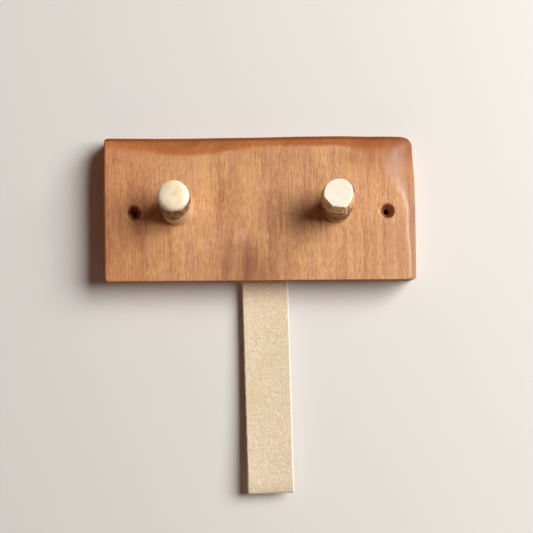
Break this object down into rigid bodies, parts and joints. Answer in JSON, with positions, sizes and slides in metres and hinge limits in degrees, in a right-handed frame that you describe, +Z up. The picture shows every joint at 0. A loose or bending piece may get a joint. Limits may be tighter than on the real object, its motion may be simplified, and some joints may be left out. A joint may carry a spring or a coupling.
{
  "type": "leather strop rack",
  "caption": "Wall-mounted hardwood board with upturned branch pegs and a hanging flesh-side leather strop for polishing knife edges.",
  "frame": {"origin": "on the wall face of the board, midway between the two wall screw holes", "axes": "+Z up as the rack hangs, +Y into the wall, +X to the right of a person facing the rack; the pegs point towards -Y"},
  "size_m": [0.233, 0.0651, 0.269],
  "materials": {
    "board_wood": "oiled satin, open-pored orange-brown hardwood",
    "peg_wood": "matte, pale bare branch wood",
    "bark": "matte, mottled brown bark",
    "strop_leather": "suede flesh side, undyed",
    "fixing_steel": "zinc-plated satin"
  },
  "bodies": {
    "rack": {"backboard": "board_wood", "left_peg": "peg_wood", "left_peg_bark": "bark", "right_peg": "peg_wood", "right_peg_bark": "bark", "strop_held_end": "strop_leather", "strop_screw_1": "fixing_steel", "strop_screw_2": "fixing_steel", "strop_screw_3": "fixing_steel", "strop_screw_4": "fixing_steel", "strop_washer_1": "fixing_steel", "strop_washer_2": "fixing_steel", "strop_washer_3": "fixing_steel", "strop_washer_4": "fixing_steel"},
    "strop_upper": {"strop_upper_length": "strop_leather"},
    "strop_lower": {"strop_lower_length": "strop_leather"}
  },
  "joints": [
    {"name": "strop_swing", "type": "hinge", "parent": "rack", "child": "strop_upper", "pos_m": [0.00295, -0.0045, -0.0535], "axis": [-1, 0, 0], "range_deg": [0, 90]},
    {"name": "strop_curl", "type": "hinge", "parent": "strop_upper", "child": "strop_lower", "pos_m": [0.00461, -0.00588, -0.13255], "axis": [-1, 0, 0], "range_deg": [0, 90]}
  ]
}
